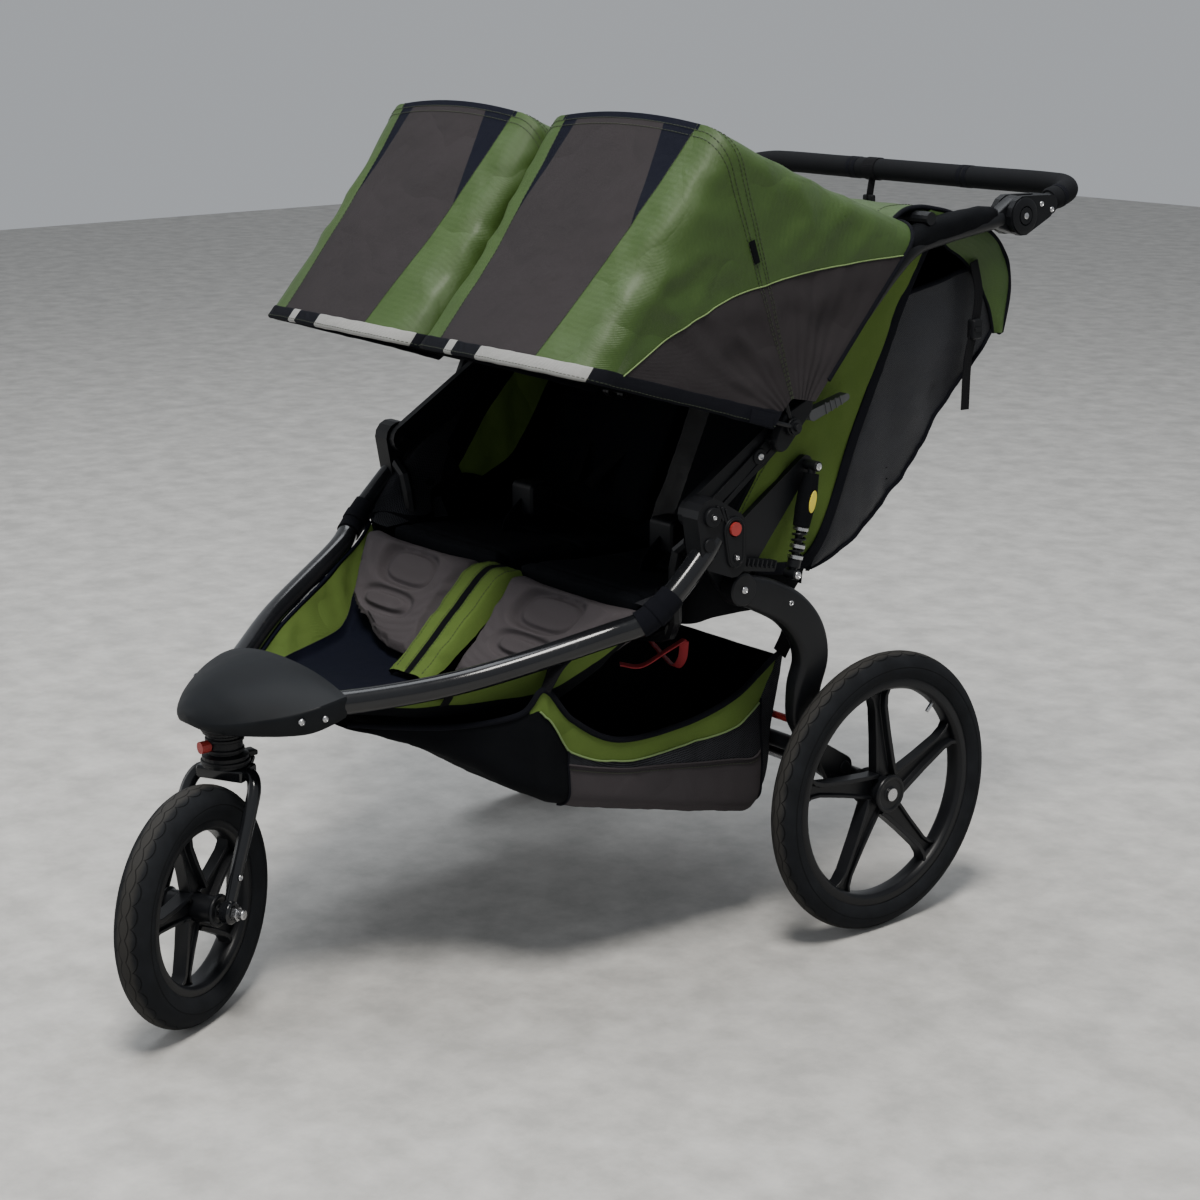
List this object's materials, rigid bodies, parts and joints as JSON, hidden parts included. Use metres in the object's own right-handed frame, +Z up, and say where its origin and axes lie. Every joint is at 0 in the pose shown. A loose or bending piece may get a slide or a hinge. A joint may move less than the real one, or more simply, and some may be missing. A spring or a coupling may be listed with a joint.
{
  "type": "jogging stroller",
  "caption": "Side-by-side double jogging stroller: folding tube frame, swivel front wheel, sprung rear wheels, sun canopies, fabric seats and under-seat basket.",
  "frame": {"origin": "on the ground, at the middle of the stroller's length and width", "axes": "+Z up, -Y forward towards the front wheel, +X to the rider's left"},
  "size_m": [0.792, 1.4655, 1.1199],
  "materials": {
    "gloss_black_tube": "gloss black powder coat",
    "satin_black_metal": "satin black powder coat",
    "moulded_plastic": "fine moulded grain",
    "gray_plastic": "satin moulded",
    "red_plastic": "smooth moulded",
    "tyre_rubber": "matt, grooved tread",
    "bright_steel": "bright turned steel",
    "handle_foam": "closed-cell foam",
    "green_fabric": "plain weave polyester",
    "coated_green_fabric": "coated, slightly shiny weave",
    "gray_fabric": "matt plain weave",
    "black_fabric": "matt plain weave",
    "black_mesh": "open knitted mesh"
  },
  "bodies": {
    "frame": {"left_frame_tube": "gloss_black_tube", "right_frame_tube": "gloss_black_tube", "nose_cap": "moulded_plastic", "swivel_housing": "satin_black_metal", "left_hinge_plate": "moulded_plastic", "right_hinge_plate": "moulded_plastic", "seat_crossbar": "satin_black_metal", "left_seat_cushion": "black_fabric", "right_seat_cushion": "black_fabric", "left_calf_pad": "gray_fabric", "right_calf_pad": "gray_fabric", "footwell_divider": "green_fabric", "footwell": "black_fabric", "storage_basket": "black_mesh"},
    "upper_frame": {"left_upper_tube": "satin_black_metal", "right_upper_tube": "satin_black_metal", "left_upper_link": "moulded_plastic", "right_upper_link": "moulded_plastic", "canopy_cross_brace": "satin_black_metal", "left_seat_side_panel": "green_fabric", "right_seat_side_panel": "green_fabric", "left_canopy_rear_panel": "coated_green_fabric", "right_canopy_rear_panel": "coated_green_fabric"},
    "handlebar": {"handlebar_tube": "satin_black_metal", "handlebar_grip": "handle_foam", "left_handlebar_joint": "moulded_plastic", "right_handlebar_joint": "moulded_plastic"},
    "caster": {"front_fork": "gloss_black_tube", "front_axle": "bright_steel"},
    "front_wheel": {"front_tyre": "tyre_rubber", "front_rim": "moulded_plastic"},
    "quick_release": {"quick_release_lever": "gray_plastic"},
    "swivel_lock": {"swivel_lock_knob": "red_plastic"},
    "rear_chassis": {"left_chassis_bracket": "satin_black_metal", "right_chassis_bracket": "satin_black_metal", "left_shock_absorber": "moulded_plastic", "right_shock_absorber": "moulded_plastic"},
    "suspension_arm": {"swing_arm": "satin_black_metal", "rear_axle": "bright_steel"},
    "brake": {"parking_brake_pedal": "red_plastic"},
    "left_rear_wheel": {"left_rear_tyre": "tyre_rubber", "left_rear_rim": "moulded_plastic"},
    "left_hinge_button": {"left_hinge_button": "red_plastic"},
    "left_handlebar_button": {"left_handlebar_button": "moulded_plastic"},
    "left_release_lever": {"left_fold_release_lever": "gray_plastic"},
    "left_mid_bow": {"left_canopy_mid_bow": "satin_black_metal", "left_canopy_front_panel": "gray_fabric"},
    "left_front_bow": {"left_canopy_front_bow": "satin_black_metal"},
    "left_seatback": {"left_seatback_pad": "black_fabric", "left_back_pocket": "black_mesh"},
    "right_rear_wheel": {"right_rear_tyre": "tyre_rubber", "right_rear_rim": "moulded_plastic"},
    "right_hinge_button": {"right_hinge_button": "red_plastic"},
    "right_handlebar_button": {"right_handlebar_button": "moulded_plastic"},
    "right_release_lever": {"right_fold_release_lever": "gray_plastic"},
    "right_mid_bow": {"right_canopy_mid_bow": "satin_black_metal", "right_canopy_front_panel": "gray_fabric"},
    "right_front_bow": {"right_canopy_front_bow": "satin_black_metal"},
    "right_seatback": {"right_seatback_pad": "black_fabric", "right_back_pocket": "black_mesh"}
  },
  "joints": [
    {"name": "front_swivel", "type": "hinge", "parent": "frame", "child": "caster", "pos_m": [0, -0.512, 0.34], "axis": [0, 0, 1], "continuous": true},
    {"name": "front_wheel_spin", "type": "hinge", "parent": "caster", "child": "front_wheel", "pos_m": [0.0411, -0.59094, 0.1554], "axis": [0.887, 0.4617, 0], "continuous": true},
    {"name": "quick_release_flip", "type": "hinge", "parent": "caster", "child": "quick_release", "pos_m": [-0.02853, -0.62719, 0.1554], "axis": [0.4617, -0.887, 0], "range_deg": [0, 165]},
    {"name": "swivel_lock_press", "type": "slide", "parent": "frame", "child": "swivel_lock", "axis": [0, -1, 0], "range_m": [0, 0.006], "stiffness_N_per_m": 400},
    {"name": "upper_fold", "type": "hinge", "parent": "frame", "child": "upper_frame", "pos_m": [0, -0.006, 0.628], "axis": [1, 0, 0], "range_deg": [0, 62]},
    {"name": "rear_fold", "type": "hinge", "parent": "frame", "child": "rear_chassis", "pos_m": [0, 0.034, 0.556], "axis": [-1, 0, 0], "range_deg": [0, 65], "deforming": ["storage_basket"]},
    {"name": "suspension", "type": "hinge", "parent": "rear_chassis", "child": "suspension_arm", "pos_m": [0, 0.06, 0.52], "axis": [1, 0, 0], "range_deg": [0, 9], "stiffness_Nm_per_rad": 180, "springref_deg": -14.32, "deforming": ["left_shock_absorber", "right_shock_absorber"]},
    {"name": "handlebar_tilt", "type": "hinge", "parent": "upper_frame", "child": "handlebar", "pos_m": [0, 0.577, 0.965], "axis": [1, 0, 0], "range_deg": [-45, 70]},
    {"name": "brake_press", "type": "hinge", "parent": "suspension_arm", "child": "brake", "pos_m": [0, 0.207, 0.299], "axis": [-1, 0, 0], "range_deg": [0, 30]},
    {"name": "left_rear_wheel_spin", "type": "hinge", "parent": "suspension_arm", "child": "left_rear_wheel", "pos_m": [0.371, 0.3, 0.1977], "axis": [1, 0, 0], "continuous": true},
    {"name": "left_hinge_button_press", "type": "slide", "parent": "frame", "child": "left_hinge_button", "axis": [-1, 0, 0], "range_m": [0, 0.003], "stiffness_N_per_m": 500},
    {"name": "left_handlebar_button_press", "type": "slide", "parent": "handlebar", "child": "left_handlebar_button", "axis": [-1, 0, 0], "range_m": [0, 0.002], "stiffness_N_per_m": 500},
    {"name": "left_release_lever_lift", "type": "hinge", "parent": "upper_frame", "child": "left_release_lever", "pos_m": [0.337, 0.186, 0.733], "axis": [1, 0, 0], "range_deg": [0, 15], "stiffness_Nm_per_rad": 0.5},
    {"name": "left_canopy_fold", "type": "hinge", "parent": "upper_frame", "child": "left_mid_bow", "pos_m": [0.18, 0.139, 0.725], "axis": [-1, 0, 0], "range_deg": [0, 54], "deforming": ["left_canopy_rear_panel"]},
    {"name": "left_canopy_visor_fold", "type": "hinge", "parent": "left_mid_bow", "child": "left_front_bow", "pos_m": [0.18, 0.139, 0.725], "axis": [-1, 0, 0], "range_deg": [0, 46], "deforming": ["left_canopy_front_panel"]},
    {"name": "left_recline", "type": "hinge", "parent": "upper_frame", "child": "left_seatback", "pos_m": [0.163, 0.205, 0.512], "axis": [-1, 0, 0], "range_deg": [0, 20]},
    {"name": "right_rear_wheel_spin", "type": "hinge", "parent": "suspension_arm", "child": "right_rear_wheel", "pos_m": [-0.371, 0.3, 0.1977], "axis": [1, 0, 0], "continuous": true},
    {"name": "right_hinge_button_press", "type": "slide", "parent": "frame", "child": "right_hinge_button", "axis": [1, 0, 0], "range_m": [0, 0.003], "stiffness_N_per_m": 500},
    {"name": "right_handlebar_button_press", "type": "slide", "parent": "handlebar", "child": "right_handlebar_button", "axis": [1, 0, 0], "range_m": [0, 0.002], "stiffness_N_per_m": 500},
    {"name": "right_release_lever_lift", "type": "hinge", "parent": "upper_frame", "child": "right_release_lever", "pos_m": [-0.337, 0.186, 0.733], "axis": [1, 0, 0], "range_deg": [0, 15], "stiffness_Nm_per_rad": 0.5},
    {"name": "right_canopy_fold", "type": "hinge", "parent": "upper_frame", "child": "right_mid_bow", "pos_m": [-0.18, 0.139, 0.725], "axis": [-1, 0, 0], "range_deg": [0, 54], "deforming": ["right_canopy_rear_panel"]},
    {"name": "right_canopy_visor_fold", "type": "hinge", "parent": "right_mid_bow", "child": "right_front_bow", "pos_m": [-0.18, 0.139, 0.725], "axis": [-1, 0, 0], "range_deg": [0, 46], "deforming": ["right_canopy_front_panel"]},
    {"name": "right_recline", "type": "hinge", "parent": "upper_frame", "child": "right_seatback", "pos_m": [-0.163, 0.205, 0.512], "axis": [-1, 0, 0], "range_deg": [0, 20]}
  ],
  "couplings": [
    {"joint": "right_release_lever_lift", "follows": "left_release_lever_lift", "ratio": 1},
    {"joint": "left_canopy_visor_fold", "follows": "left_canopy_fold", "ratio": 0.85},
    {"joint": "right_canopy_visor_fold", "follows": "right_canopy_fold", "ratio": 0.85}
  ]
}
